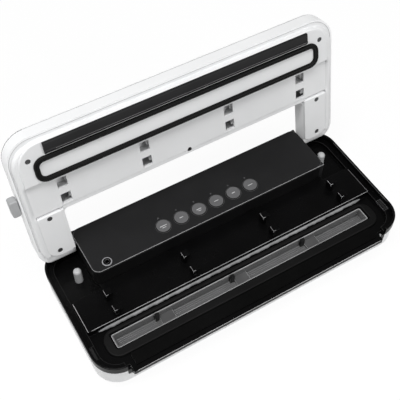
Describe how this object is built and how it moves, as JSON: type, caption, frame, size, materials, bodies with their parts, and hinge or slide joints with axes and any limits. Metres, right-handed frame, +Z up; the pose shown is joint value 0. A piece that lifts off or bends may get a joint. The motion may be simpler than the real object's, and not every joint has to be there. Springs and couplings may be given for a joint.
{
  "type": "vacuum sealer",
  "caption": "Countertop vacuum sealer with a hinged U-shaped lid, sliding lock bar, hook deck, vacuum channel with drip tray, heat strip and a raised control panel.",
  "frame": {"origin": "middle of the base's outline across its width, on the table", "axes": "+X to the user's right, -Y to the user at the front, +Z up"},
  "size_m": [0.41, 0.2122, 0.2282],
  "materials": {
    "white_shell": "smooth white",
    "pale_cover": "fine satin off-white",
    "gloss_black": "polished black",
    "panel_black": "matt black",
    "button_grey": "satin mid grey",
    "ring_grey": "satin grey",
    "knob_grey": "satin light grey",
    "post_grey": "satin light grey",
    "bar_white": "satin off-white",
    "clear_tray": "clear smoked plastic",
    "tab_black": "polished black",
    "seal_black": "soft matt black",
    "strip_black": "silicone, matt black",
    "seal_grey": "soft light grey",
    "tape_black": "coated cloth tape",
    "heater_metal": "plain",
    "steel": "plain",
    "foot_rubber": "soft black",
    "inlet_black": "plain",
    "pump_black": "plain",
    "motor_metal": "plain",
    "board_green": "circuit board",
    "core_metal": "laminated core",
    "hose_clear": "silicone tube"
  },
  "bodies": {
    "base": {"upper_case": "gloss_black", "lower_case": "white_shell", "control_housing": "gloss_black", "control_panel": "panel_black", "control_board": "board_green", "tact_switches": "pump_black", "hose_port": "ring_grey", "power_inlet": "inlet_black", "inlet_pins": "steel", "lower_gasket": "seal_black", "rear_seal": "seal_grey", "heater_bar": "heater_metal", "heater_tape": "tape_black", "latch_hooks": "gloss_black", "plunger_spring_left": "steel", "plunger_spring_right": "steel", "lid_switches": "pump_black", "vacuum_pump": "pump_black", "pump_motor": "motor_metal", "vacuum_hose": "hose_clear", "power_board": "board_green", "transformer": "core_metal", "hinge_pins": "steel", "base_screws": "steel", "feet": "foot_rubber"},
    "lid": {"lid_shell": "white_shell", "lid_cover": "pale_cover", "lid_gasket": "seal_black", "pressure_strip": "strip_black", "lid_screws": "steel"},
    "lock": {"lock_bar": "bar_white", "lock_knob": "knob_grey"},
    "tray": {"drip_tray": "clear_tray", "tray_tabs": "tab_black"},
    "post_left": {"plunger_left": "post_grey"},
    "post_right": {"plunger_right": "post_grey"},
    "key_1": {"button_1": "button_grey"},
    "key_2": {"button_2": "button_grey"},
    "key_3": {"button_3": "button_grey"},
    "key_4": {"button_4": "button_grey"},
    "key_5": {"button_5": "button_grey"},
    "key_6": {"button_6": "button_grey"}
  },
  "joints": [
    {"name": "lid_hinge", "type": "hinge", "parent": "base", "child": "lid", "pos_m": [0, 0.078, 0.064], "axis": [1, 0, 0], "range_deg": [0, 102.5]},
    {"name": "lock_slide", "type": "slide", "parent": "lid", "child": "lock", "axis": [-1, 0, 0], "range_m": [0, 0.004]},
    {"name": "tray_lift", "type": "slide", "parent": "base", "child": "tray", "axis": [0, 0, -1], "range_m": [-0.03, 0]},
    {"name": "post_left_slide", "type": "slide", "parent": "base", "child": "post_left", "axis": [0, 0, -1], "range_m": [0, 0.012], "deforming": ["plunger_spring_left"]},
    {"name": "post_right_slide", "type": "slide", "parent": "base", "child": "post_right", "axis": [0, 0, -1], "range_m": [0, 0.012], "deforming": ["plunger_spring_right"]},
    {"name": "key_1_press", "type": "slide", "parent": "base", "child": "key_1", "axis": [0, 0, -1], "range_m": [0, 0.0008], "stiffness_N_per_m": 300},
    {"name": "key_2_press", "type": "slide", "parent": "base", "child": "key_2", "axis": [0, 0, -1], "range_m": [0, 0.0008], "stiffness_N_per_m": 300},
    {"name": "key_3_press", "type": "slide", "parent": "base", "child": "key_3", "axis": [0, 0, -1], "range_m": [0, 0.0008], "stiffness_N_per_m": 300},
    {"name": "key_4_press", "type": "slide", "parent": "base", "child": "key_4", "axis": [0, 0, -1], "range_m": [0, 0.0008], "stiffness_N_per_m": 300},
    {"name": "key_5_press", "type": "slide", "parent": "base", "child": "key_5", "axis": [0, 0, -1], "range_m": [0, 0.0008], "stiffness_N_per_m": 300},
    {"name": "key_6_press", "type": "slide", "parent": "base", "child": "key_6", "axis": [0, 0, -1], "range_m": [0, 0.0008], "stiffness_N_per_m": 300}
  ],
  "couplings": [
    {"joint": "post_left_slide", "follows": "lid_hinge", "m_per_rad": 0.0067077},
    {"joint": "post_right_slide", "follows": "lid_hinge", "m_per_rad": 0.0067077}
  ]
}
